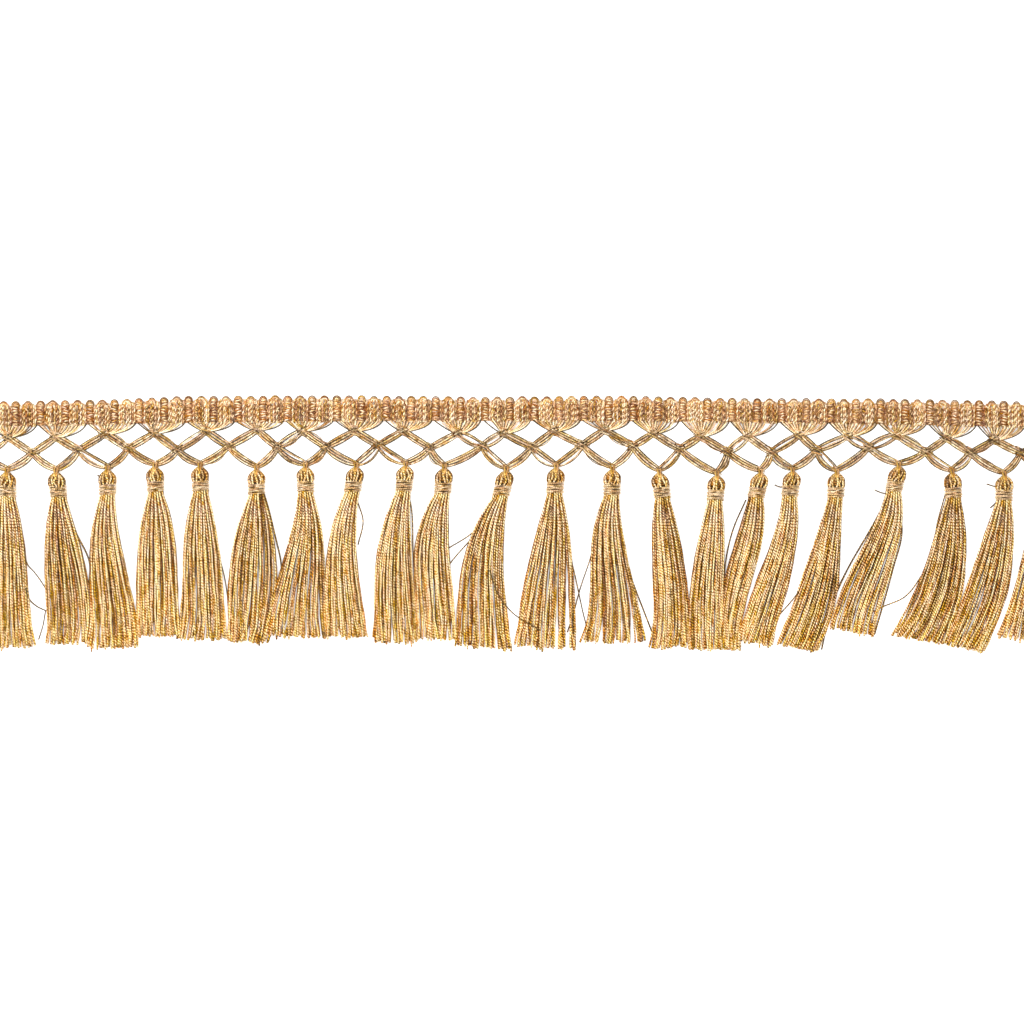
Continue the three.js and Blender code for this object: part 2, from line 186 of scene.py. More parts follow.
# Single cords that stand away from a skirt: its number, the cord's radius, the points it follows, and
# whether it lies over the other cords.
Stray = namedtuple("Stray", "tassel radius points over", defaults=(False,))
STRAYS = [
    Stray(0, 0.2, [(-211.9, -10.5), (-210.2, -17.6), (-207.3, -21.0), (-203.1, -27.3), (-200.5, -32.0)]),
    Stray(0, 0.2, [(-211.0, -27.3), (-210.0, -31.5), (-206.8, -34.9), (-202.7, -37.0)]),
    Stray(0, 0.12, [(-202.7, -37.0), (-203.9, -42.8), (-206.0, -49.1)]),
    Stray(1, 0.4, [(-195.1, 9.7), (-190.5, -2.9), (-184.2, -17.6), (-184.6, -26.0), (-185.4, -42.0)]),
    Stray(4, 0.25, [(-135.0, 5.5), (-130.0, -13.4), (-127.5, -23.9), (-125.6, -40.0)]),
    Stray(5, 0.4, [(-111.9, 15.1), (-110.2, 9.7), (-106.5, -5.0), (-104.0, -16.4), (-104.2, -34.0)]),
    Stray(7, 0.2, [(-73.3, 15.1), (-72.0, 9.7), (-69.5, 1.3), (-71.6, -9.2)]),
    Stray(8, 0.3, [(-51.4, 15.1), (-49.8, 9.7), (-48.5, -11.3), (-47.4, -40.0)]),
    Stray(10, 0.22, [(-13.7, 9.7), (-15.3, 5.5), (-24.6, -5.0), (-32.1, -9.7), (-34.6, -11.2)]),
    Stray(10, 0.22, [(-15.3, 2.9), (-20.4, -2.9), (-31.7, -15.5), (-34.0, -18.5)]),
    Stray(10, 0.25, [(-16.2, -19.7), (-13.2, -29.0), (-6.9, -37.4), (4.8, -44.9)], True),
    Stray(11, 0.25, [(15.8, -7.1), (19.5, -21.8), (23.7, -40.7), (26.0, -49.0)]),
    Stray(12, 0.2, [(30.4, 1.3), (25.8, -15.5), (21.6, -28.1), (19.1, -37.4), (16.4, -46.0)]),
    Stray(12, 0.35, [(35.1, 1.3), (40.5, -15.5), (51.9, -45.8)]),
    Stray(14, 0.2, [(72.0, -23.9), (67.8, -33.6), (61.5, -41.6)]),
    Stray(15, 0.35, [(91.3, 9.7), (85.9, -2.9), (83.0, -15.5), (82.1, -26.0), (82.3, -44.0)]),
    Stray(17, 0.35, [(130.0, -15.5), (127.5, -32.3), (123.3, -53.3)]),
    Stray(17, 0.2, [(120.3, -15.5), (114.0, -28.1), (103.5, -40.7), (99.5, -45.0)]),
    Stray(18, 0.4, [(150.2, 9.7), (145.9, 1.3), (132.9, -21.8), (125.0, -40.0)]),
    Stray(18, 0.35, [(155.2, 7.6), (156.9, -2.9), (153.1, -19.7), (145.5, -47.0)]),
    Stray(19, 0.25, [(174.9, 11.8), (172.0, 1.3), (168.6, -15.5), (165.3, -21.8), (158.1, -31.1),
                     (148.9, -35.3), (144.6, -37.5)]),
    Stray(19, 0.2, [(168.6, -15.5), (164.4, -26.0), (158.1, -40.7), (156.0, -46.0)]),
    Stray(2, 0.15, [(-177.0, 18.5), (-179.1, 18.5), (-181.2, 20.2)]),
    Stray(16, 0.2, [(107.3, 15.1), (105.6, 15.1), (103.5, 16.0)]),
    Stray(18, 0.2, [(151.4, 12.2), (148.5, 12.6), (145.5, 13.9)]),
    Stray(20, 0.2, [(197.6, 14.7), (195.1, 15.5), (192.6, 16.4)]),
    Stray(20, 0.2, [(198.0, 10.5), (196.3, 8.4), (194.2, 6.3)]),
]


# Curves and tubes

def chance(*key):
    """The random numbers of one piece, the same in each run."""
    return np.random.default_rng((SEED, *key))


def eased(share):
    share = np.clip(share, 0, 1)
    return share * share * (3 - 2 * share)


def through(points, rings):
    """A smooth curve of that many points, through the given ones."""
    points = np.asarray(points, float)
    steps = np.r_[0, np.cumsum(np.linalg.norm(np.diff(points, axis=0), axis=1))]
    slopes = np.gradient(points, steps, axis=0)
    at = np.linspace(0, steps[-1], rings)
    k = np.clip(np.searchsorted(steps, at, side="right") - 1, 0, len(points) - 2)
    width = (steps[k + 1] - steps[k])[:, None]
    t = (at[:, None] - steps[k][:, None]) / width
    return (
        (2 * t**3 - 3 * t**2 + 1) * points[k]
        + (t**3 - 2 * t**2 + t) * width * slopes[k]
        + (3 * t**2 - 2 * t**3) * points[k + 1]
        + (t**3 - t**2) * width * slopes[k + 1]
    )


def unit(vectors):
    return vectors / np.maximum(np.linalg.norm(vectors, axis=-1, keepdims=True), 1e-9)


def carried_axes(paths):
    """Two directions across each path, carried along it without turning."""
    along = unit(np.gradient(paths, axis=1))
    across = np.empty_like(along)
    upright = np.abs(along[:, :1, 2:]) > 0.9
    start = np.where(upright, np.array([1.0, 0, 0]), np.array([0, 0, 1.0]))
    across[:, 0] = unit(np.cross(along[:, 0], start[:, 0]))
    for ring in range(1, paths.shape[1]):
        last = across[:, ring - 1]
        slip = np.sum(last * along[:, ring], axis=1, keepdims=True)
        across[:, ring] = unit(last - slip * along[:, ring])
    return across, np.cross(along, across)


class Strands:
    """Round threads, gathered into one mesh."""

    CAP_PLACES = (0.02, 0.98)
    CAP_SIZE = (0.3, 0.012)
    STRIP = (0.06, 0.88)
    STRIP_SIDE = (0.04, 0.92)
    HUE_TURNS = 7

    def __init__(self):
        self.groups = []

    def add(self, paths, radius, tint, sides=ROUND, hue=None):
        """Threads with the same number of rings. Tint goes from 0, dark, to 1, pale. Hue goes from -1,
        olive, to 1, pink, and is a thread's own where none is given."""
        paths = np.array(paths, float)
        if paths.ndim == 2:
            paths = paths[None]
        count, rings = paths.shape[:2]
        radius = np.broadcast_to(np.asarray(radius, float), (count, rings))
        tint = np.broadcast_to(np.asarray(tint, float), (count, rings))
        paths[..., 2] = np.maximum(paths[..., 2], radius)
        self.groups.append((paths, radius, tint, sides, hue))

    def mesh(self, name):
        total = sum(len(group[0]) for group in self.groups)
        length = sum(np.linalg.norm(np.diff(g[0], axis=1), axis=2).sum() for g in self.groups) / total
        girth = TURN * np.mean([g[1].mean() for g in self.groups])
        columns = max(1, round((total * length / girth) ** 0.5))
        rows = -(-total // columns)
        parts = []
        first_vertex = 0
        first_strip = 0
        for paths, radius, tint, sides, hue in self.groups:
            count, rings = paths.shape[:2]
            strips = first_strip + np.arange(count)
            looks = self.looks(strips, tint, hue, sides)
            parts.append((*looks, *self.tubes(paths, radius, sides, first_vertex, strips, columns, rows)))
            first_vertex += count * rings * sides
            first_strip += count
        tints, owns, hues, points, corners, sizes, cord_uv, bake_uv = (np.concatenate(p) for p in zip(*parts))
        mesh = bpy.data.meshes.new(name)
        mesh.vertices.add(len(points))
        mesh.vertices.foreach_set("co", (points * MM).astype(np.float32).ravel())
        mesh.loops.add(len(corners))
        mesh.loops.foreach_set("vertex_index", corners.astype(np.int32))
        mesh.polygons.add(len(sizes))
        starts = np.r_[0, np.cumsum(sizes)[:-1]]
        mesh.polygons.foreach_set("loop_start", starts.astype(np.int32))
        mesh.polygons.foreach_set("use_smooth", np.ones(len(sizes), bool))
        mesh.update(calc_edges=True)
        for layer, uv in (("OFBake", bake_uv), ("cord", cord_uv)):
            mesh.uv_layers.new(name=layer)
            mesh.uv_layers[layer].data.foreach_set("uv", uv.astype(np.float32).ravel())
        for layer, values in (("tint", tints), ("own", owns), ("hue", hues)):
            mesh.attributes.new(layer, "FLOAT", "POINT").data.foreach_set("value", values.astype(np.float32))
        return mesh

    def looks(self, strips, tint, hue, sides):
        """Each point's tint, and the number and hue of its own thread."""
        each = tint.shape[1] * sides
        own = strips * GOLDEN % 1
        hues = np.sin(TURN * own * self.HUE_TURNS) if hue is None else np.full(len(strips), float(hue))
        return np.repeat(tint.ravel(), sides), np.repeat(own, each), np.repeat(hues, each)

    def tubes(self, paths, radius, sides, first_vertex, strips, columns, rows):
        """Points, faces and both maps of threads with the same number of rings. Both ends are closed."""
        count, rings = paths.shape[:2]
        across, up = carried_axes(paths)
        angle = TURN * np.arange(sides) / sides
        spoke = np.cos(angle)[:, None] * across[:, :, None] + np.sin(angle)[:, None] * up[:, :, None]
        points = (paths[:, :, None] + radius[:, :, None, None] * spoke).reshape(-1, 3)
        steps = np.linalg.norm(np.diff(paths, axis=1), axis=2)
        run = np.concatenate([np.zeros((count, 1)), np.cumsum(steps, axis=1)], axis=1)

        places = (np.arange(count), np.arange(rings - 1), np.arange(sides))
        cord, ring, side = np.meshgrid(*places, indexing="ij")
        ring4 = np.stack([ring, ring, ring + 1, ring + 1], -1)
        side4 = np.stack([side, side + 1, side + 1, side], -1)
        cord4 = np.broadcast_to(cord[..., None], ring4.shape)
        quads = first_vertex + (cord4 * rings + ring4) * sides + side4 % sides
        around = side4 / sides
        along = run[cord4, ring4]
        share = along / run[cord4, -1]

        cord2, side2 = np.meshgrid(np.arange(count), np.arange(sides), indexing="ij")
        starts = first_vertex + cord2 * rings * sides + (sides - 1 - side2)
        ends = first_vertex + (cord2 * rings + rings - 1) * sides + side2
        caps = np.stack([starts, ends], 1)
        cap_cord = np.broadcast_to(np.arange(count)[:, None, None], caps.shape)
        cap_along = np.stack([run[cord2, 0], run[cord2, -1]], 1)
        cap_middle = np.broadcast_to(np.array(self.CAP_PLACES)[None, :, None], caps.shape)
        cap_angle = TURN * np.broadcast_to(np.arange(sides) / sides, caps.shape)

        corners = np.r_[quads.ravel(), caps.ravel()]
        sizes = np.r_[np.full(quads[..., 0].size, 4), np.full(count * 2, sides)]
        cap_around = cap_angle / TURN
        cord_uv = np.c_[np.r_[around.ravel(), cap_around.ravel()], np.r_[along.ravel(), cap_along.ravel()]]
        start, width = self.STRIP_SIDE
        low, height = self.STRIP
        cap_width, cap_height = self.CAP_SIZE
        cell_x = np.r_[
            (start + width * around).ravel(),
            (0.5 + cap_width * np.cos(cap_angle)).ravel(),
        ]
        cell_y = np.r_[
            (low + height * share).ravel(),
            (cap_middle + cap_height * np.sin(cap_angle)).ravel(),
        ]
        strip = strips[np.r_[cord4.ravel(), cap_cord.ravel()]]
        bake_uv = np.c_[(strip % columns + cell_x) / columns, (strip // columns + cell_y) / rows]
        return points, corners, sizes, cord_uv, bake_uv


def show(strands, name, material, node):
    """The gathered threads as one piece, in the place of a CAD node or of none."""
    piece = bpy.data.objects.new(name, strands.mesh(name))
    bpy.context.scene.collection.objects.link(piece)
    piece.data.materials.append(material)
    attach(piece, "root")
    if node:
        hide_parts(node)
    return piece


# Materials

# Shades from the darkest to the palest: from the thread's colour in deep shade to that of its highlights, so
# that the tints paint both the thread's own tone and light and shade.
GOLD = [(0.1, 0.048, 0.008), (0.4, 0.2, 0.05), (0.75, 0.46, 0.15), (0.99, 0.81, 0.47)]
ROSE_GOLD = [(0.15, 0.065, 0.016), (0.42, 0.22, 0.07), (0.74, 0.48, 0.2), (0.99, 0.84, 0.55)]
PALE_GOLD = [(0.06, 0.035, 0.01), (0.34, 0.2, 0.065), (0.7, 0.49, 0.24), (0.97, 0.85, 0.6)]
YELLOW_GOLD = [(0.3, 0.16, 0.03), (0.58, 0.36, 0.08), (0.82, 0.56, 0.2), (0.97, 0.8, 0.42)]

# Hue of a thread that outlines others, past the usual -1 to 1, and how far the ends of that range turn
# the colour.
OLIVE = -3
OLIVE_REACH = 0.008
PINK_REACH = 0.022

# Plies' turns in one pitch, and how many more some cords have.
TWIST = 0.83
MORE_TWIST = 0.35
MEAN_HEIGHT = 0.64

# The beads, painted paler on the plies' tops as painted highlight and darker in their creases as painted
# shade, grow along a cord, between these places, from this share of their contrast.
PLY_SHADE_BEGIN = 5.0
PLY_SHADE_FULL = 12.0
FIRST_PLY_SHADE = 0.35

# Cords get richer in colour between these places.
RICH_BEGINS = 15.0
RICH_FULL = 60.0

METALLIC = 0.5

# Noise along a thread, by its scale in each millimetre, and how strongly it turns and washes the colour.
STREAKS = 0.35
FLECKS = 1.3
FIBRES = 5.0
BLUSHES = 0.12
WASHES = 0.15
BLUSH = 5.0
WASH = 1.4

# Steps that set one thread's noise and twist apart from the next one's.
LANE_STEP = 173
PHASE_STEP = 17.0
WASH_STEP = 40.0


def link(tree, kind, values=None, **settings):
    """A shader node. Its values are numbers, colours, or other nodes' outputs."""
    made = tree.nodes.new("ShaderNode" + kind)
    for name, value in settings.items():
        setattr(made, name, value)
    for socket, value in (values or {}).items():
        if isinstance(value, bpy.types.NodeSocket):
            tree.links.new(value, made.inputs[socket])
        else:
            made.inputs[socket].default_value = value
    return made


def math(tree, operation, *values):
    return link(tree, "Math", dict(enumerate(values)), operation=operation).outputs[0]


def twist_height(tree, run, around, own, pitch):
    """Height of a cord's twisted plies, from 0 in the crease between them to 1 on top of one."""
    rate = math(tree, "MULTIPLY_ADD", own, MORE_TWIST / pitch, TWIST / pitch)
    phase = math(tree, "MULTIPLY_ADD", own, PHASE_STEP, around)
    turns = math(tree, "MULTIPLY_ADD", run, rate, phase)
    return math(tree, "ABSOLUTE", math(tree, "SINE", math(tree, "MULTIPLY", turns, TURN / 2)))


def noise(tree, scale, *place):
    """Noise at a place made of numbers, about 0.5."""
    at = link(tree, "CombineXYZ", dict(enumerate(place))).outputs[0]
    return link(tree, "TexNoise", {"Vector": at, "Scale": scale, "Detail": 2.0}).outputs[0]


def thread_inputs(tree):
    """Where a point is, round its thread and along it, and the thread's tint, number and hue."""
    parts = link(tree, "SeparateXYZ", {0: link(tree, "UVMap", uv_map="cord").outputs[0]})
    looks = [link(tree, "Attribute", attribute_name=layer).outputs["Fac"] for layer in ("tint", "own", "hue")]
    return (parts.outputs[0], parts.outputs[1], *looks)


def shade_level(tree, run, around, lane, height, base, painted_ply_shade, fleck):
    """Where on its scale of shades a point is: paler on top of the plies as painted highlight, darker in the
    creases between them as painted shade, and paler in long and short flecks.
    """
    growth = {0: run, 1: PLY_SHADE_BEGIN, 2: PLY_SHADE_FULL, 3: FIRST_PLY_SHADE * painted_ply_shade, 4: painted_ply_shade}
    painted_ply_strength = link(tree, "MapRange", growth).outputs[0]
    # Painted highlight on the plies' tops and painted shade in the creases between them.
    level = math(tree, "MULTIPLY_ADD", math(tree, "SUBTRACT", height, MEAN_HEIGHT), painted_ply_strength, base)
    for scale, place, strength in ((FLECKS, (run, around, lane), fleck), (STREAKS, (run, lane), 0.5 * fleck)):
        change = math(tree, "SUBTRACT", noise(tree, scale, *place), 0.5)
        level = math(tree, "MULTIPLY_ADD", change, strength, level)
    return level


def colour_of(tree, level, shades):
    ramp = link(tree, "ValToRGB", {0: level})
    elements = ramp.color_ramp.elements
    while len(elements) < len(shades):
        elements.new(1)
    for index, shade in enumerate(shades):
        elements[index].position = index / (len(shades) - 1)
        elements[index].color = (*shade, 1)
    return ramp.outputs[0]


def toned(tree, colour, run, lane, hue, rich):
    """The colour turned towards olive or pink, and washed out or made richer, along its thread."""
    blush = math(tree, "SUBTRACT", noise(tree, BLUSHES, run, lane), 0.5)
    blush = math(tree, "MULTIPLY_ADD", blush, BLUSH, hue)
    reach = {0: blush, 1: -1.0, 2: 1.0, 3: 0.5 + OLIVE_REACH, 4: 0.5 - PINK_REACH}
    shift = link(tree, "MapRange", reach).outputs[0]
    depth = link(tree, "MapRange", {0: run, 1: RICH_BEGINS, 2: RICH_FULL, 3: 1.0, 4: rich}).outputs[0]
    wash = noise(tree, WASHES, run, math(tree, "ADD", lane, WASH_STEP))
    depth = math(tree, "MULTIPLY_ADD", math(tree, "SUBTRACT", wash, 0.5), WASH, depth)
    return link(tree, "HueSaturation", {"Hue": shift, "Saturation": depth, "Color": colour}).outputs[0]


def thread_material(name, shades, pitch, painted_ply_shade, fleck, lift=0.0, bump=0.1, gloss=0.35, rich=1.0):
    """Metallic thread. Pitch is its plies' own, and bump their height, in millimetres. Its colour is painted
    paler on the plies' tops and darker in their creases, as painted highlight and painted shade.
    """
    material = bpy.data.materials.new(name)
    material.use_nodes = True
    tree = material.node_tree
    around, run, tint, own, hue = thread_inputs(tree)
    lane = math(tree, "MULTIPLY", own, LANE_STEP)
    height = twist_height(tree, run, around, own, pitch)
    fibres = noise(tree, FIBRES, run, around, lane)
    level = shade_level(tree, run, around, lane, height, math(tree, "ADD", tint, lift), painted_ply_shade, fleck)
    colour = toned(tree, colour_of(tree, level, shades), run, lane, hue, rich)
    rough = link(tree, "MapRange", {0: fibres, 1: 0.3, 2: 0.7, 3: gloss - 0.08, 4: gloss + 0.12})
    relief = math(tree, "MULTIPLY_ADD", fibres, 0.35, height)
    normal = link(tree, "Bump", {"Strength": 1.0, "Distance": bump * MM, "Height": relief})
    shader = tree.nodes["Principled BSDF"]
    tree.links.new(colour, shader.inputs["Base Color"])
    tree.links.new(rough.outputs[0], shader.inputs["Roughness"])
    tree.links.new(normal.outputs[0], shader.inputs["Normal"])
    shader.inputs["Metallic"].default_value = METALLIC
    return material


# Heading

def crest(x):
    reach = (x - ARCH_MIDDLE) / ARCH_REACH
    return HEADING_TOP - ARCH_RISE * reach * reach


def top_edge(x):
    """Height of the loops' tops."""
    places = TOP_EDGE_STEP * (np.arange(len(TOP_EDGE)) - 0.5 * (len(TOP_EDGE) - 1))
    return crest(x) + LOOP_RISE + np.interp(x, places, TOP_EDGE)


def rib_x(rib):
    return -HEADING_LENGTH / 2 + rib * PITCH


def is_light(rib):
    return rib % 2 == 0


def arch_of(x, half, top, foot, height, rise=0.0):
    """Points of an upright loop: up one side, over the top and down the other."""
    bend = np.linspace(-0.5 * np.pi, 0.5 * np.pi, 7)
    points = [(x - half, foot, height)]
    points += [(x + half * np.sin(a), top - half * (1 - np.cos(a)), height + rise * np.cos(a)) for a in bend]
    return points + [(x + half, foot, height)]


def top_loops(knit, rib, rng):
    """The small round loops of one rib, that stand past the band's top edge."""
    x = rib_x(rib) + rng.uniform(-0.15, 0.15)
    light = is_light(rib)
    top = top_edge(x) - rng.uniform(0, 0.3)
    outer = rng.uniform(1.35, 1.65) if light else rng.uniform(1.45, 1.65)
    depth = 3.6 if light else rng.uniform(2.3, 2.8)
    outline = arch_of(x, outer, top - LOOP_THREAD, top - depth, 1.2)
    shade = rng.uniform(-0.05, 0.15)
    knit.add(through(outline, 15), LOOP_THREAD, shade, FINE, hue=OLIVE)
    second = top - rng.uniform(0.5, 0.9)
    half = rng.uniform(1.9, 2.3) if light else outer - 0.35
    inner = arch_of(x, half, second, top - depth - 0.5, 1.3, 0.2)
    knit.add(through(inner, 15), 0.28, rng.uniform(0.1, 0.5), FINE)
    pale = arch_of(x, half - 0.65, second - 0.6, top - depth + 0.1, 1.2, 0.3)
    knit.add(through(pale, 13), 0.34, rng.uniform(0.6, 0.9), FINE)
    if light:
        innermost = arch_of(x, half - 1.3, second - 1.2, top - 4.0, 1.3, 0.2)
        knit.add(through(innermost, 11), 0.34, rng.uniform(0.3, 0.7), FINE)
    for aside in (-0.75, -0.25, 0.25, 0.75):
        notch = x + PITCH / 2 + aside + rng.uniform(-0.15, 0.15)
        y = top - rng.uniform(1.4, 2.3) + np.array([0, -1.2, -2.6])
        thin = rng.uniform(0.24, 0.32)
        knit.add(np.c_[np.full(3, notch), y, [0.7, 0.95, 0.9]], thin, rng.uniform(0.55, 1.0), FINE, hue=0.6)


def light_rib(knit, rib, rng):
    """A wide rib of wavy upright strands, with short slanted stitches over them."""
    x = rib_x(rib)
    top = top_edge(x)
    foot = crest(x) - HEADING_WIDTH + 0.2
    t = np.linspace(0, 1, 17)
    outline = 0.72 + 0.34 * eased(t / 0.35) - 0.16 * eased((t - 0.8) / 0.2)
    lanes = 9
    for k in range(lanes):
        lane = -2.95 + 5.9 * k / (lanes - 1) + rng.uniform(-0.15, 0.15)
        y = top - 1.7 + (foot - top + 1.7) * t
        phase = TURN * (y / rng.uniform(1.9, 2.9) + rng.random())
        sway = 0.2 * np.sin(phase)
        z = 1.35 + 0.35 * np.cos(phase) + 0.15 * np.cos(lane)
        # Where a strand rises it is painted paler and where it dips darker, as painted light and shade.
        shade = rng.choice([0.28, 0.7]) + rng.uniform(-0.1, 0.1) + 0.25 * np.cos(phase)
        shade = shade + rng.normal(0, 0.15, len(t))
        knit.add(np.c_[x + lane * outline + sway, y, z], KNIT_THREAD * rng.uniform(0.85, 1.15), shade, FINE)
    for row in range(STITCH_ROWS):
        y = top - STITCH_TOP - row * STITCH_STEP + rng.uniform(-0.3, 0.3)
        at = x + rng.choice([-1.9, -0.9, 0.1, 1.2]) + rng.uniform(-0.2, 0.4)
        slant = rng.choice([-1, 1]) * rng.uniform(0.25, 1.2)
        reach = rng.uniform(0.4, 0.65)
        points = [
            (at - reach, y - reach * slant, 1.45),
            (at, y + rng.uniform(-0.15, 0.15), 2.05),
            (at + reach, y + reach * slant, 1.45),
        ]
        knit.add(through(points, 6), rng.uniform(0.22, 0.32), rng.uniform(0.35, 1.0), FINE)


def dark_rib(knit, rib, rng):
    """A stack of short bars across a narrow rib, pale ones between dark ones."""
    x = rib_x(rib)
    y = top_edge(x) - 1.8
    foot = crest(x) - HEADING_WIDTH + (0.9 if rib % LOOPS_PER_REPEAT == 1 else 0.3)
    for aside in (-1.5, -0.9, -0.3, 0.3, 0.9, 1.5):
        ys = y - 0.4 + (foot - y + 0.6) * np.linspace(0, 1, 5)
        shade = rng.uniform(0.15, 0.4) + rng.normal(0, 0.1, 5)
        knit.add(np.c_[np.full(5, x + aside), ys, np.full(5, 0.85)], 0.32, shade, FINE, hue=0.5)
    pale = False
    paleness = rng.uniform(-0.05, 0.25)
    while y > foot:
        half = rng.uniform(0.6, 1.2) if pale else rng.uniform(1.4, 1.75)
        lean = rng.uniform(-0.4, 0.4)
        crown = rng.uniform(1.45, 1.8) if pale else 1.3
        at = x + (rng.uniform(-0.45, 0.45) if pale else 0)
        points = [
            (at - half, y - lean, 1.0),
            (at - half * 0.5, y - lean * 0.5 + 0.12, crown),
            (at + half * 0.5, y + lean * 0.5 + 0.12, crown),
            (at + half, y + lean, 1.0),
        ]
        shade = rng.uniform(0.6, 0.95) if pale else rng.uniform(0.0, 0.3) + paleness
        knit.add(through(points, 6), rng.uniform(0.3, 0.38), shade, FINE, hue=rng.uniform(-0.2, 0.8))
        y -= rng.uniform(0.45, 0.66)
        pale = not pale


def heading_band(material):
    """The thin close ground of the knit, which the raised stitches lie on."""
    steps = LOOPS * 4
    xs = np.linspace(-HEADING_LENGTH / 2, HEADING_LENGTH / 2, steps + 1)
    tops = crest(xs) - BAND_SHORT
    feet = crest(xs) - HEADING_WIDTH + BAND_INSET
    flat = np.zeros_like(xs)
    level = np.full_like(xs, BAND_HEIGHT)
    wave = 0.15 * np.cos(TURN * xs / PITCH)
    middles = (feet + tops) / 2
    ring = [(feet, flat), (feet, level), (middles, BAND_HEIGHT + 0.2 + wave), (tops, level), (tops, flat)]
    points = np.stack([np.stack([xs, y, z], -1) for y, z in ring], 1).reshape(-1, 3)
    count = len(ring)
    faces = [
        ((i + 1) * count + k, (i + 1) * count + (k + 1) % count, i * count + (k + 1) % count, i * count + k)
        for i in range(steps)
        for k in range(count)
    ]
    faces.append(tuple(range(count)))
    faces.append(tuple(reversed(range(steps * count, (steps + 1) * count))))
    mesh = bpy.data.meshes.new("heading_band")
    mesh.from_pydata((points * MM).tolist(), [], faces)
    mesh.update()
    band = bpy.data.objects.new("heading_band", mesh)
    bpy.context.scene.collection.objects.link(band)
    mesh.materials.append(material)
    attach(band, "root")
    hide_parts("heading")
    return band


def heading(yarn, ground):
    knit = Strands()
    for rib in range(LOOPS + 1):
        rng = chance(1, rib)
        top_loops(knit, rib, rng)
        if is_light(rib):
            light_rib(knit, rib, rng)
        else:
            dark_rib(knit, rib, rng)
    band = heading_band(ground)
    stitches = show(knit, "heading_stitches", yarn, "heading")


# Net

def apex_x(repeat):
    return rib_x(APEX_RIB + repeat * LOOPS_PER_REPEAT) + APEX_SHIFT


def bundle(net, start, end, bow, rng):
    """A flat band of threads from knot to knot, gathered at both. Bow is to the left of the way."""
    start = np.array(start)
    end = np.array(end)
    way = unit(end - start)
    left = np.array([-way[1], way[0]])
    t = np.linspace(0, 1, 11)
    arch = 4 * t * (1 - t)
    width = BUNDLE_GATHERED + rng.uniform(0.55, 0.85) * arch ** 0.6
    slit = rng.choice([0, 0, 0, 1]) * rng.uniform(0.2, 0.55)
    slit_lane = rng.uniform(-0.6, 0.6)
    for k in range(BUNDLE_THREADS):
        lane = -1 + 2 * k / (BUNDLE_THREADS - 1)
        edge = abs(lane) == 1
        drift = 0 if edge else rng.normal(0, 0.1) * (2 * t - 1)
        shift = bow * arch + width * np.clip(lane + drift, -1, 1)
        shift = shift + slit * arch * np.sign(lane - slit_lane)
        # Every other thread, thinner and set lower, is dark: painted shade in the valleys between the pale
        # threads. The edge threads are among the dark ones.
        pale = k % 2
        shade = rng.uniform(0.4, 0.75) if pale else rng.uniform(-0.05, 0.25)
        z = 0.65 + 0.3 * pale + 0.2 * np.sin(TURN * (t + rng.random()))
        xy = start + (end - start) * t[:, None] + left * shift[:, None]
        radius = NET_THREAD * (rng.uniform(1.15, 1.35) if pale else rng.uniform(0.85, 1.0))
        net.add(np.c_[xy, z], radius, shade + rng.normal(0, 0.15, len(t)), FINE, hue=OLIVE if edge else None)
    if rng.random() < 0.3:
        stray = rng.uniform(1.3, 2.3) * np.sign(bow) * rng.choice([-1, 1, 1])
        xy = start + (end - start) * t[:, None] + left * ((bow + stray) * arch)[:, None]
        net.add(np.c_[xy, 0.5 + 0.3 * arch], 0.2, rng.uniform(0.15, 0.6), FINE)


def knot(net, middle, rng, half=KNOT_HALF, rise=KNOT_RISE):
    """Turns round the threads where they cross, leaning to both sides, and ends that poke out. Every other
    turn is tinted dark, as painted shade in the tight knot.
    """
    for n in range(KNOT_TURNS):
        angle = np.linspace(0, TURN * 1.05, 15) + rng.uniform(0, TURN)
        lean = (0.45 if n % 2 else -0.45) * rng.uniform(0.6, 1.4)
        across = half * rng.uniform(0.7, 1.0) * np.cos(angle)
        along = rise * (n / (KNOT_TURNS - 1) - 0.5) + lean * across + 0.2 * np.sin(angle)
        z = 1.0 + (0.72 + 0.1 * (n % 2)) * np.sin(angle)
        pale = n % 2 == 0
        shade = rng.uniform(0.25, 0.65) if pale else rng.uniform(-0.1, 0.2)
        shade = shade + rng.normal(0, 0.15, len(angle))
        thick = rng.uniform(0.32, 0.4) if pale else rng.uniform(0.22, 0.28)
        net.add(np.c_[middle[0] + across, middle[1] + along, z], thick, shade, FINE)
    for hand in (-1, 1):
        points = [
            (middle[0], middle[1] + rng.uniform(-0.3, 0.3), 1.2),
            (middle[0] + hand * half, middle[1] + rng.uniform(-0.5, 0.5), 1.1),
            (middle[0] + hand * (half + rng.uniform(0.5, 1.1)), middle[1] + rng.uniform(-0.9, 0.9), 0.7),
        ]
        net.add(through(points, 6), 0.2, rng.uniform(0.1, 0.6), FINE)


def fan_path(x, share, edge, knots):
    """From the heading's foot into the upper knot, on a curve that sags more on the knot's right."""
    foot = crest(x) - HEADING_WIDTH
    on_right = eased((x - knots.upper_x) / FAN_REACH)
    sag = 0.53 + 0.2 * on_right
    spread = 0.4 + 0.6 * min(1, abs(x - knots.upper_x) / FAN_REACH)
    start = np.array([x, foot + 0.9, 1.4])
    bend = np.array([
        x + (0.42 - 0.24 * on_right) * (knots.upper_x - x),
        foot + sag * (knots.upper_y - foot) * spread,
        1.2,
    ])
    if edge:
        bend[1] -= 0.3 + 0.25 * on_right
    end = np.array([knots.upper_x + 1.3 * (share - 0.5), knots.upper_y - 0.3, 0.9])
    t = np.linspace(0, 1, FAN_RINGS)[:, None]
    return (1 - t) ** 2 * start + 2 * t * (1 - t) * bend + t * t * end


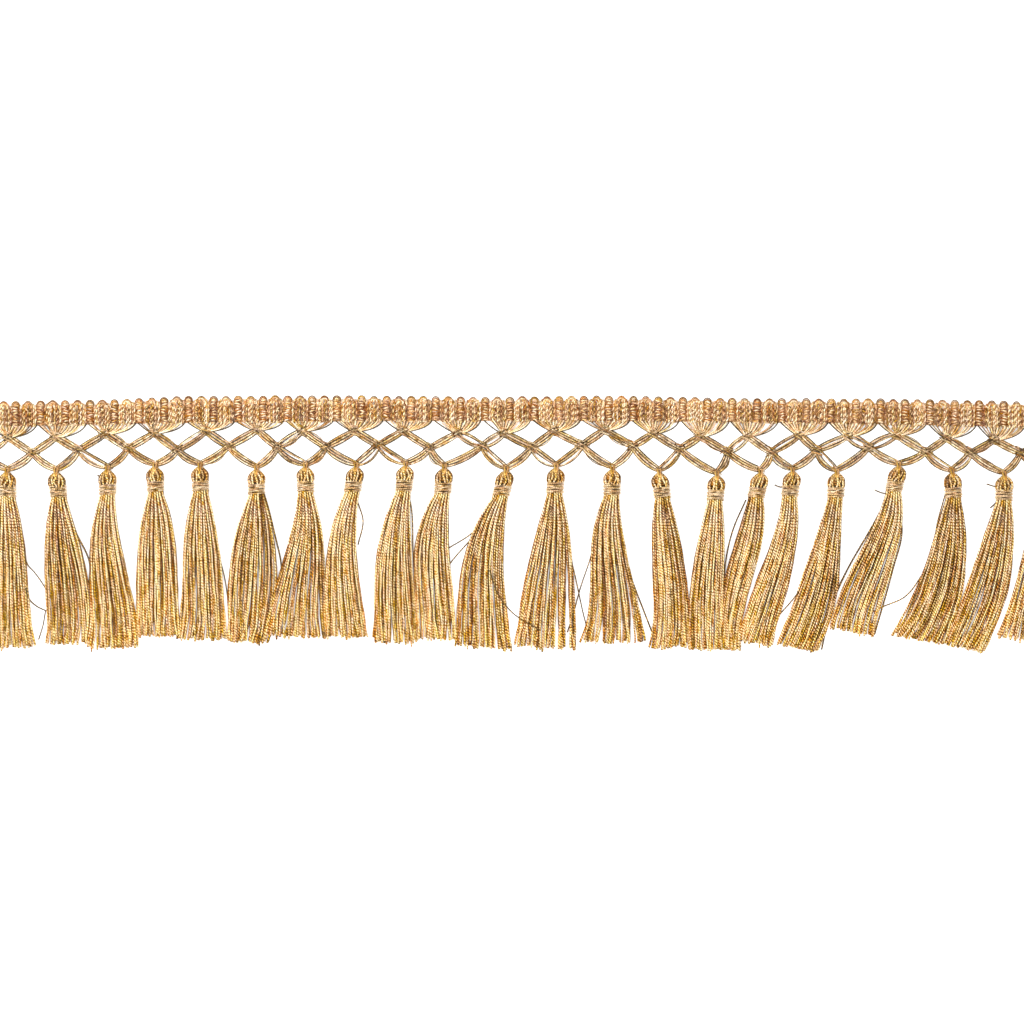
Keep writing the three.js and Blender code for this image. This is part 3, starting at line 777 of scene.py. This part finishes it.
def fan(net, index, rng):
    """Threads drawn out of the heading's foot into the upper knot, dark ones at its edges."""
    knots = KNOTS[index]
    left, right = apex_x(index - 1) + 0.4, apex_x(index) - 0.5
    for k in range(FAN_THREADS):
        share = k / (FAN_THREADS - 1)
        from_edge = min(share, 1 - share)
        edge = from_edge < FAN_EDGE
        x = left + (right - left) * share + rng.uniform(-0.2, 0.2)
        path = fan_path(x, share, edge, knots)
        # Every other thread, thinner and set lower, is dark: painted shade in the valleys between the pale
        # ones. The edge threads are dark as well.
        if edge:
            shade, radius = rng.uniform(-0.15, 0.0), 0.3
        elif k % 2:
            shade, radius = rng.uniform(0.5, 0.85), 0.37
        else:
            shade, radius = rng.uniform(0.1, 0.4), 0.27
            path[:, 2] = path[:, 2] - 0.2
        missing = rng.random() < 0.3 and FAN_EDGE < from_edge < 0.25
        if missing:
            continue
        shade = shade + rng.normal(0, 0.1, FAN_RINGS)
        net.add(path, radius, shade, FINE, hue=OLIVE if edge else None)


def lattice(thread, heads):
    net = Strands()
    for index, knots in enumerate(KNOTS):
        rng = chance(2, index)
        upper = (knots.upper_x, knots.upper_y)
        before = FIRST_MIDDLE_KNOT if index == 0 else (KNOTS[index - 1].middle_x, KNOTS[index - 1].middle_y)
        after = (knots.middle_x, knots.middle_y)
        lower = (heads[index].top_x, heads[index].top + LOWER_KNOT_RISE)
        fan(net, index, rng)
        for start, end, bow in (
            (before, upper, UPPER_BOW),
            (upper, after, UPPER_BOW),
            (before, lower, LOWER_BOW),
            (lower, after, LOWER_BOW),
        ):
            bundle(net, start, end, bow, rng)
        knot(net, upper, rng)
        knot(net, after, rng)
        knot(net, lower, rng, LOWEST_KNOT_HALF, LOWEST_KNOT_RISE)
    knot(net, FIRST_MIDDLE_KNOT, chance(3))
    show(net, "lattice_threads", thread, "lattice")


# Tassels

Head = namedtuple("Head", "top_x top neck_x neck_top foot_x foot crown")


def head_of(number):
    """Where a tassel's head and neck are, from the solids."""
    tassel = np.array([v.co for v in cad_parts[f"tassel_{number}"].data.vertices]) / MM
    sleeve = np.array([v.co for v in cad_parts[f"binding_{number}"].data.vertices]) / MM
    top = tassel[:, 1].max()
    neck_top, foot = sleeve[:, 1].max(), sleeve[:, 1].min()
    close = 0.05

    def middle(points, y):
        ring = points[np.abs(points[:, 1] - y) < close]
        return (ring[:, 0].min() + ring[:, 0].max()) / 2

    return Head(
        top_x=middle(tassel, top),
        top=top,
        neck_x=middle(sleeve, neck_top),
        neck_top=neck_top + NODE_GAP,
        foot_x=middle(sleeve, foot),
        foot=foot - NODE_GAP,
        crown=sleeve[:, 2].max(),
    )


def edge_curve(head, hand, high, low, tip_x, tip):
    """One edge of a skirt as a cubic, from the neck's foot through its measured places."""
    ys = [head.foot, HIGH_LEVEL, LOW_LEVEL, tip]
    xs = [head.foot_x + hand * NECK_HALF, high, low, tip_x]
    return np.polyfit(ys, xs, 3)


def skirt_edges(head, row):
    left = edge_curve(head, -1, row.left_high, row.left_low, row.left_tip, row.tip)
    right = edge_curve(head, 1, row.right_high, row.right_low, row.right_tip, row.tip)
    return left, right


def wander(s, rng):
    """How far a cord strays to its side on the way down: a slow, a middling and a quick wave."""
    waves = (
        np.sin(TURN * (rng.uniform(0.5, 1.1) * s + rng.random()))
        + 0.5 * np.sin(TURN * (rng.uniform(1.6, 2.8) * s + rng.random()))
        + 0.25 * np.sin(TURN * (rng.uniform(5, 9) * s + rng.random()))
    )
    return (0.12 + 0.22 * np.clip(s, 0, 1)) * waves * eased(s / 0.2)


def skirt_height(across, s, depth):
    """Height of a layer's cord in the flattened round of the hank, which gets thinner to the tip."""
    crown = NECK_CROWN - CROWN_FALL * np.clip(s, 0, 1)
    round_off = np.sqrt(np.clip(1 - across * across, 0, 1))
    high = crown * (0.4 + 0.6 * round_off) - SKIRT_CORD
    low = np.maximum(crown * (0.4 - 0.6 * round_off), 0) + SKIRT_CORD
    return low + (high - low) * depth


def cord_tone_and_painted_shade(s, depth, rank, rng):
    """A cord's tone, and how far it is sunk. At the neck only the leaders of the top layer are not sunk. The
    sunk cords and the lower layers are painted darker, as shade under the top cords, and the leaders a little
    paler, as lit on top.
    """
    shade = rng.normal(0.66, 0.2) + rng.normal(0, 0.12, len(s))
    # Lower layers: painted shade, darkest towards the neck under the top layer.
    if depth < 1:
        return (shade - 0.2) * (0.1 + 0.9 * eased((s - 0.35) / 0.6)), 0
    # Leaders: painted a little paler, as lit on top.
    if rank == 0:
        return shade + 0.1, 0
    # Sunk cords: painted shade until they come up beside the leaders.
    risen = eased(s / (0.22 if rank == 1 else 0.5))
    return shade * (0.15 + 0.85 * risen), SUNK * (1 - risen)


def skirt(hank, head, row, rng):
    """Cords from the neck to the tip, in three layers. At the neck one in three of the outer ones shows."""
    left, right = skirt_edges(head, row)
    length = head.foot - row.tip
    lean = 0.75 * ((row.left_tip + row.right_tip) / 2 - head.foot_x) / length
    clump_turn = rng.random()
    for count, depth, rings in LAYERS:
        s = np.linspace(-0.04, 1, rings)
        for k in range(count):
            lane = (k + 0.5) / count * 2 - 1 + rng.uniform(-0.35, 0.35) / count
            across = lane + rng.normal(0, 0.055) * eased(s / 0.9)
            across = across + row.loose * 0.07 * s * np.sin(TURN * (CLUMPS * lane / 2 + clump_turn))
            across = np.clip(across, -1.03, 1.03)
            wiggle = wander(s, rng)
            end = 1 + (rng.normal(0, 0.01) - 0.005 * (depth < 1))
            y = head.foot - length * s * end
            inside = np.clip(y, row.tip, head.foot)
            x_left = np.polyval(left, inside) + SKIRT_CORD - SKIRT_SPREAD
            x_right = np.polyval(right, inside) - SKIRT_CORD + SKIRT_SPREAD
            x = (x_left + x_right) / 2 + across * (x_right - x_left) / 2 + wiggle
            x = x + rng.normal(0, 0.5) * eased((s - 0.85) / 0.15)
            y = y + lean * (x - (x_left + x_right) / 2) * eased(s)
            z = skirt_height(across, s, depth)
            z = z + 0.2 * np.sin(TURN * (rng.uniform(1.5, 3) * s + rng.random())) * eased(s / 0.3)
            shade, sunk = cord_tone_and_painted_shade(s, depth, k % LEADERS, rng)
            z = z - sunk
            radius = NECK_CORD + (SKIRT_CORD - NECK_CORD) * eased(s / 0.25)
            if depth < 1:
                radius = radius * (1 + 0.25 * eased(s / 0.5))
            hank.add(np.c_[x, y, z], radius * rng.uniform(0.92, 1.08), np.clip(shade, 0, 1), FINE)


def skirt_core(hank, head, row):
    """The middle of the hank, which its outer cords hide. It is tinted dark, as painted shade inside the
    hank.
    """
    s = np.linspace(-0.05, 0.3, 8)
    y = head.foot - (head.foot - row.tip) * s
    left, right = skirt_edges(head, row)
    inside = np.clip(y, row.tip, head.foot)
    x = (np.polyval(left, inside) + np.polyval(right, inside)) / 2
    # Tint 0.1: painted shade inside the hank.
    hank.add(np.c_[x, y, np.full_like(y, 2.2)], 1.6 * (1.02 - s / 0.3) ** 0.5, 0.1, sides=8)


def head_knob(hank, head, rng):
    """Cords looped over at the top, apart from each other, drawn together there and under the binding."""
    t = np.linspace(0, 1, 15)
    length = head.top - head.neck_top + 0.6
    swirl = rng.choice([0, 0.15, -0.2, 0.5]) * rng.uniform(0.7, 1.2)
    for k in range(KNOB_CORDS):
        wave = rng.uniform(0.06, 0.16) * np.sin(TURN * (rng.uniform(0.5, 1.4) * t + rng.random()))
        angle = TURN * (k + 0.5 + rng.uniform(-0.2, 0.2)) / KNOB_CORDS + swirl * (t - 0.5) + wave
        bulge = 0.85 + 2.7 * np.sin(np.pi / 2 * np.clip(t / 0.55, 0, 1)) ** 0.9 - 0.5 * eased((t - 0.8) / 0.2)
        y = head.top - 0.35 - length * t
        middle = head.top_x + (head.neck_x - head.top_x) * t
        x = middle + (bulge - HEAD_CORD * 0.3) * np.cos(angle)
        z = 2.85 + 0.74 * bulge * np.sin(angle)
        # Cords on the head's flanks are painted darker, as shade where they turn away from the light above.
        shade = rng.normal(0.7, 0.15) + rng.normal(0, 0.12, len(t)) - 0.4 * np.abs(np.cos(angle)) ** 4
        hank.add(np.c_[x, y, z], HEAD_CORD, np.clip(shade, 0.05, 1), hue=rng.uniform(-1, 0))
    # The core under the looped cords is tinted dark, as painted shade inside the head.
    core = np.linspace(0.12, 1, 7)
    y = head.top - length * core
    x = head.top_x + (head.neck_x - head.top_x) * core
    swell = np.sin(np.pi * np.clip(core, 0.08, 0.8)) ** 0.6
    for aside in (-1, 0, 1):
        lump = np.c_[x + 1.15 * aside * swell, y, np.full_like(y, CORE_HEIGHT)]
        hank.add(lump, (2.1 - 0.35 * abs(aside)) * swell, 0.1, sides=10)


def strays_of(hank, index, rng):
    """A tassel's single cords. They come down to the surface, or lie over the others."""
    for stray in STRAYS:
        if stray.tassel != index:
            continue
        count = len(stray.points)
        first, last = (4.9, 3.6) if stray.over else (2.6, stray.radius + 0.1)
        path = through(np.c_[np.array(stray.points), np.linspace(first, last, count)], 6 * count)
        hank.add(path, max(stray.radius, THINNEST_STRAY), rng.uniform(-0.3, 0.0), FINE, hue=OLIVE)


def tassel(index, head, material):
    rng = chance(4, index)
    number = f"{index + 1:02d}"
    hank = Strands()
    skirt(hank, head, SKIRTS[index], rng)
    skirt_core(hank, head, SKIRTS[index])
    head_knob(hank, head, rng)
    strays_of(hank, index, rng)
    show(hank, f"tassel_{number}_cords", material, f"tassel_{number}")


def binding(index, head, material):
    """Turns of fine cord round the neck, and two that cross over them."""
    rng = chance(5, index)
    number = f"{index + 1:02d}"
    wrap = Strands()
    length = head.neck_top - head.foot - 2 * NODE_GAP
    turns = max(4, round(length / WRAP_STEP))
    angle = np.linspace(0, TURN * turns, WRAP_STEPS * turns) + rng.uniform(0, TURN)
    share = np.linspace(0, 1, WRAP_STEPS * turns)
    y = head.neck_top - NODE_GAP - WRAP_THREAD - (length - 2 * WRAP_THREAD) * share
    middle = head.neck_x + (head.foot_x - head.neck_x) * share
    half = (WRAP_HALF - WRAP_THREAD) * (1 + 0.04 * np.cos(TURN * (share * turns / 2 + rng.random())))
    x = half * np.cos(angle)
    height = head.crown - WRAP_THREAD
    z = WRAP_THREAD + (height - WRAP_THREAD) * np.clip(0.4 + 0.6 * np.sin(angle), 0, 1)
    slope = (head.neck_x - head.foot_x) / (head.neck_top - head.foot)
    # A dark band is painted down the middle of the turns: a painted reflection of the dark above, seen there
    # on the metal cord.
    dark_reflection_x = rng.uniform(-0.8, 0.8)
    y = y - 0.6 * slope * x + 0.12 * np.sin(angle * rng.uniform(1.2, 1.8) + rng.uniform(0, TURN))
    shade = 0.7 - 0.5 * np.exp(-((x - dark_reflection_x) / 0.9) ** 2) + rng.normal(0, 0.12, len(x))
    wrap.add(np.c_[middle + x, y, z], WRAP_THREAD, np.clip(shade, 0, 1))
    for hand in (-1, 1):
        across = np.linspace(0.2 * np.pi, 0.8 * np.pi, 12)
        x = 3.3 * np.cos(across)
        y = (head.neck_top + head.foot) / 2 + hand * x * rng.uniform(0.15, 0.4) + rng.uniform(-0.8, 0.8)
        z = WRAP_THREAD + (height - WRAP_THREAD) * (0.4 + 0.6 * np.sin(across)) + 0.15
        middle = (head.neck_x + head.foot_x) / 2
        wrap.add(np.c_[middle + x, y, z], WRAP_THREAD * 0.8, rng.uniform(0.3, 0.8))
    # The core under the turns is tinted black, as painted shade inside the neck.
    core = np.linspace(0, 0.85, 4)
    y = head.neck_top + (head.foot - head.neck_top) * core
    x = head.neck_x + (head.foot_x - head.neck_x) * core
    wrap.add(np.c_[x, y, np.full_like(y, CORE_HEIGHT)], 2.5, 0.0, sides=12)
    show(wrap, f"binding_{number}_turns", material, f"binding_{number}")


def tie(index, head, material):
    """A bright doubled cord, round the lattice's lowest knot and down into the head."""
    rng = chance(6, index)
    cord = Strands()
    knot_y = head.top + LOWER_KNOT_RISE
    slope = (head.top_x - head.neck_x) / (head.top - head.neck_top)

    def x_at(y):
        return head.top_x + slope * (y - head.top)

    for hand in (-1, 1):
        points = [
            (x_at(head.top - 3.0) + hand * 0.15, head.top - 3.0, 3.2),
            (x_at(head.top - 2.3) + hand * 0.3, head.top - 2.3, 4.6),
            (x_at(head.top - 1.2) + hand * 0.4, head.top - 1.2, 4.8),
            (x_at(head.top) + hand * 0.5, head.top + 0.1, 3.4),
            (head.top_x + hand * 0.65, knot_y - 0.1, 2.3),
            (head.top_x + hand * 0.6, knot_y + 0.5, 1.4),
            (head.top_x + hand * 0.4, knot_y + 0.4, 0.5),
            (head.top_x + hand * 0.3, knot_y - 0.8, 0.5),
            (head.top_x + hand * 0.3, head.top - 0.8, 2.0),
        ]
        cord.add(through(points, 30), TIE_CORD, 0.45 + 0.2 * rng.uniform(-1, 1))
    show(cord, f"tie_{index + 1:02d}", material, None)


# Stage

FLOOR_HALF = 1.5
FLOOR_DROP = 0.0001
FLOOR_GLOW = 0.3


def floor():
    material = bpy.data.materials.new("pale_surface")
    material.use_nodes = True
    shader = material.node_tree.nodes["Principled BSDF"]
    shader.inputs["Base Color"].default_value = (0.95, 0.95, 0.95, 1)
    shader.inputs["Roughness"].default_value = 0.9
    shader.inputs["Emission Color"].default_value = (1, 0.99, 0.95, 1)
    shader.inputs["Emission Strength"].default_value = FLOOR_GLOW
    mesh = bpy.data.meshes.new("surface")
    sides = ((-1, -1), (1, -1), (1, 1), (-1, 1))
    corners = [(x * FLOOR_HALF, y * FLOOR_HALF, -FLOOR_DROP) for x, y in sides]
    mesh.from_pydata(corners, [], [(0, 1, 2, 3)])
    mesh.materials.append(material)
    surface = bpy.data.objects.new("surface", mesh)
    bpy.context.scene.collection.objects.link(surface)


def softbox(name, place, watts, size):
    light = bpy.data.lights.new(name, "AREA")
    light.energy = watts
    light.size = size
    lamp = bpy.data.objects.new(name, light)
    lamp.location = place
    aim = -np.array(place)
    lamp.rotation_euler = (
        np.arctan2(np.hypot(aim[0], aim[1]), -aim[2]),
        0,
        np.arctan2(-aim[0], aim[1]),
    )
    bpy.context.scene.collection.objects.link(lamp)


def sky():
    """Faint light all round."""
    world = bpy.data.worlds.new("studio")
    world.use_nodes = True
    world.node_tree.nodes["Background"].inputs["Strength"].default_value = 0.3
    world.node_tree.nodes["Background"].inputs["Color"].default_value = (1, 1, 1, 1)
    bpy.context.scene.world = world


def studio():
    sky()
    softbox("overhead_softbox", (-0.2, 0.15, 1.5), 32, 1.5)
    softbox("left_softbox", (-0.9, 0.3, 0.7), 5, 0.6)
    softbox("near_softbox", (0.3, -0.9, 0.7), 4, 0.6)
    bpy.context.scene.view_settings.view_transform = "Standard"


def camera():
    data = bpy.data.cameras.new("above")
    data.lens = LENS
    data.sensor_width = SENSOR
    data.clip_end = 10
    eye = bpy.data.objects.new("above", data)
    height = VIEW_WIDTH * LENS / SENSOR
    eye.location = (VIEW_MIDDLE[0] * MM, VIEW_MIDDLE[1] * MM, (height + 2) * MM)
    bpy.context.scene.collection.objects.link(eye)
    bpy.context.scene.camera = eye


def main():
    camera()
    studio()
    floor()
    yarn = thread_material("heading_yarn", ROSE_GOLD, pitch=0.9, painted_ply_shade=0.5, fleck=0.9)
    ground = thread_material("heading_ground", ROSE_GOLD, pitch=0.9, painted_ply_shade=0.3, fleck=1.2, lift=0.25)
    thread = thread_material("net_thread", PALE_GOLD, pitch=0.9, painted_ply_shade=0.4, fleck=0.8, bump=0.07)
    cord = thread_material("tassel_cord", GOLD, pitch=1.2, painted_ply_shade=0.9, fleck=1.5, bump=0.2, rich=1.15)
    wrap = thread_material("binding_cord", PALE_GOLD, pitch=0.8, painted_ply_shade=0.3, fleck=0.7, bump=0.06)
    bright = thread_material("tie_cord", YELLOW_GOLD, pitch=0.9, painted_ply_shade=0.3, fleck=0.4, bump=0.06)
    heads = [head_of(f"{index + 1:02d}") for index in range(len(SKIRTS))]
    heading(yarn, ground)
    lattice(thread, heads)
    for index, head in enumerate(heads):
        tassel(index, head, cord)
        binding(index, head, wrap)
        tie(index, head, bright)


main()
